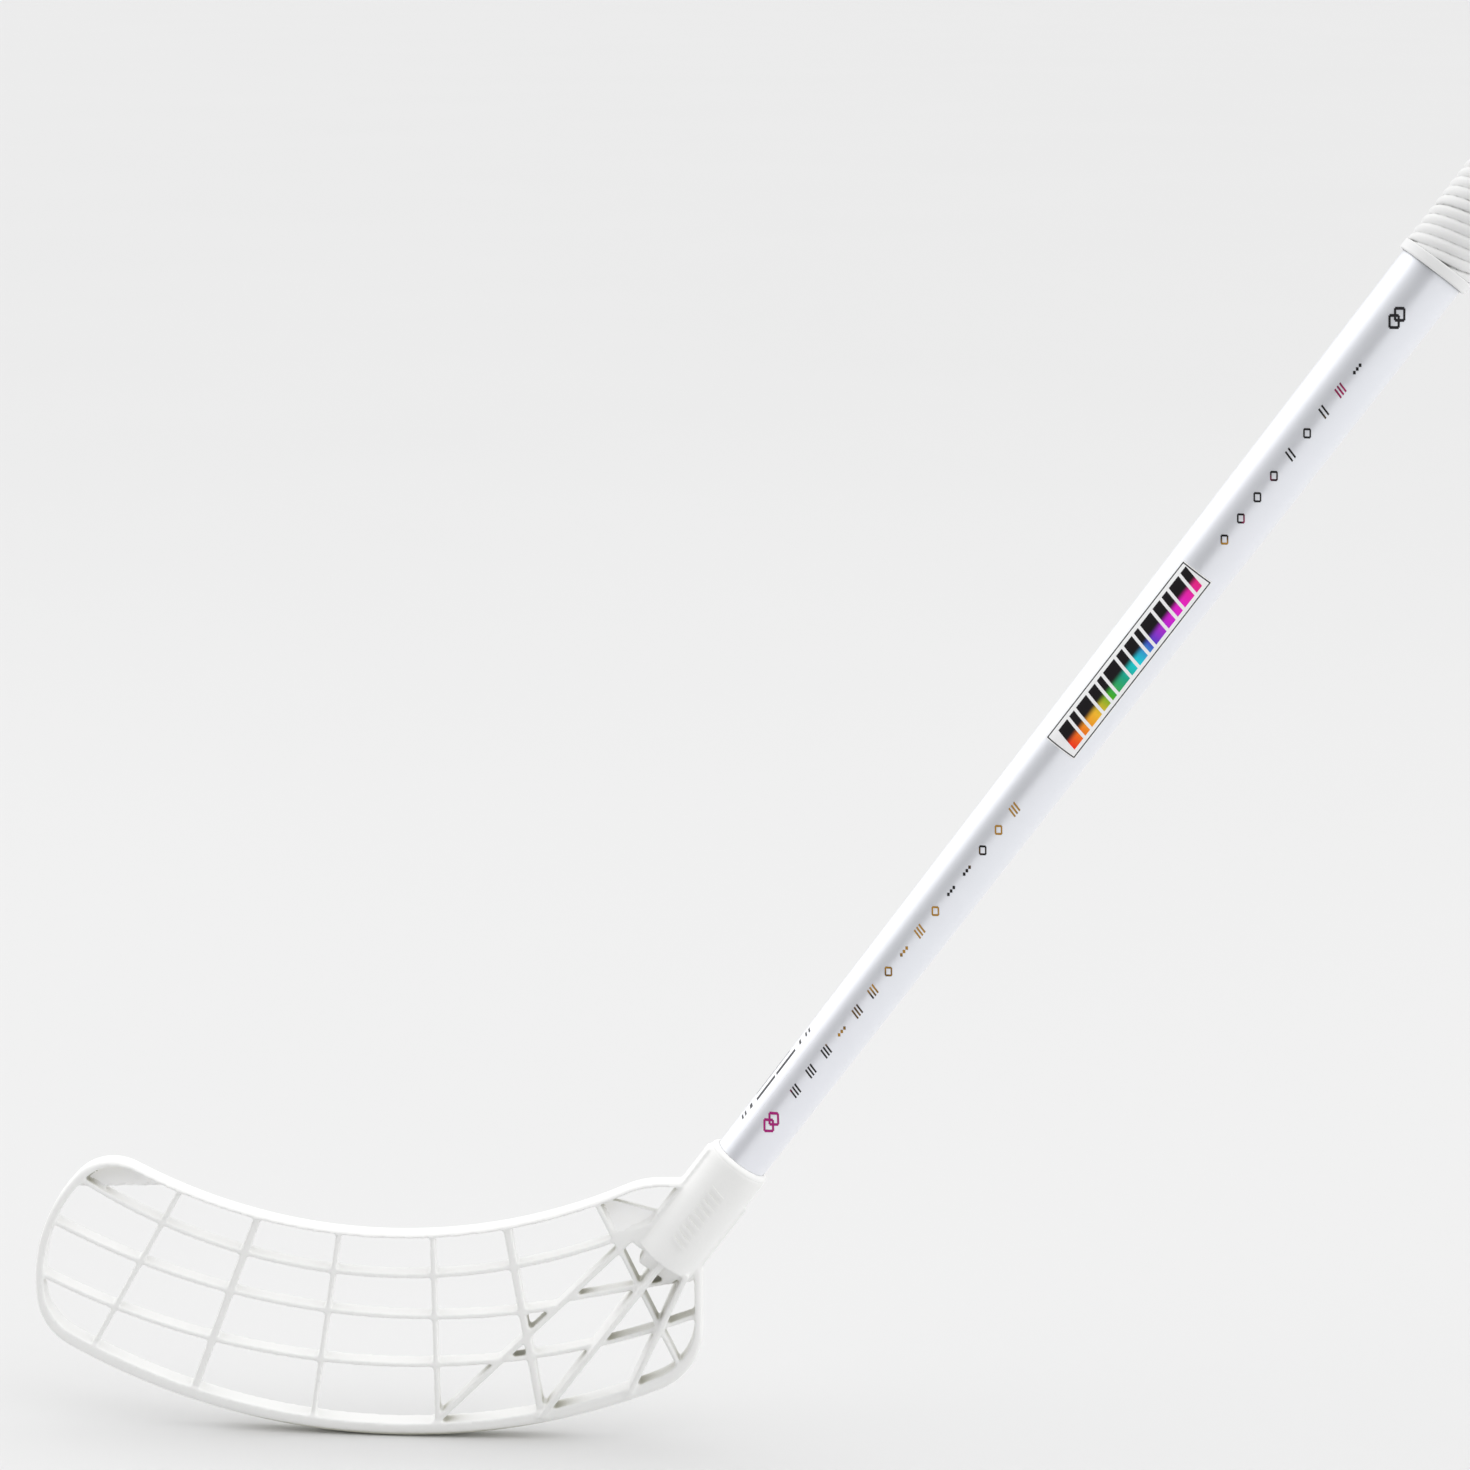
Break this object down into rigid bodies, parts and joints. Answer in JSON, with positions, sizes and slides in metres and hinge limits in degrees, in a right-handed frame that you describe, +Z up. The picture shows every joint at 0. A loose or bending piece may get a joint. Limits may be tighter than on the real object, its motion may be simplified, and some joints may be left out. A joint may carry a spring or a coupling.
{
  "type": "floorball stick",
  "caption": "Floorball stick: hollow tapered shaft with a wound grip and butt plug, and a hooked lattice blade screwed on by its socket.",
  "frame": {"origin": "on the shaft's axis, in the middle of the grip's length", "axes": "as held in play: +Z is up from the floor, the shaft leans from the blade at -X up to the butt at +X in the XZ plane, the blade's toe points to -X and bends towards +Y, so -Y is the blade's bulging face"},
  "size_m": [0.7924, 0.042, 0.79],
  "materials": {
    "blade": "satin moulded white",
    "shaft": "pearly white lacquer",
    "grip": "matte ribbed white",
    "ring": "smooth white",
    "plug": "satin moulded white",
    "screw": "zinc plated",
    "film": "printed gloss film"
  },
  "bodies": {
    "stick": {"blade": "blade", "shaft_tube": "shaft", "grip_wrap": "grip", "grip_end_ring": "ring", "label_sticker": "film", "side_sticker": "film"},
    "plug": {"end_plug": "plug"},
    "low_screw": {"blade_screw_low": "screw"},
    "high_screw": {"blade_screw_high": "screw"}
  },
  "joints": [
    {"name": "plug_pull", "type": "slide", "parent": "stick", "child": "plug", "axis": [0.5948, 0, 0.8039], "range_m": [0, 0.046]},
    {"name": "low_screw_out", "type": "slide", "parent": "stick", "child": "low_screw", "axis": [0, 1, 0], "range_m": [0, 0.012]},
    {"name": "high_screw_out", "type": "slide", "parent": "stick", "child": "high_screw", "axis": [0, 1, 0], "range_m": [0, 0.012]}
  ]
}
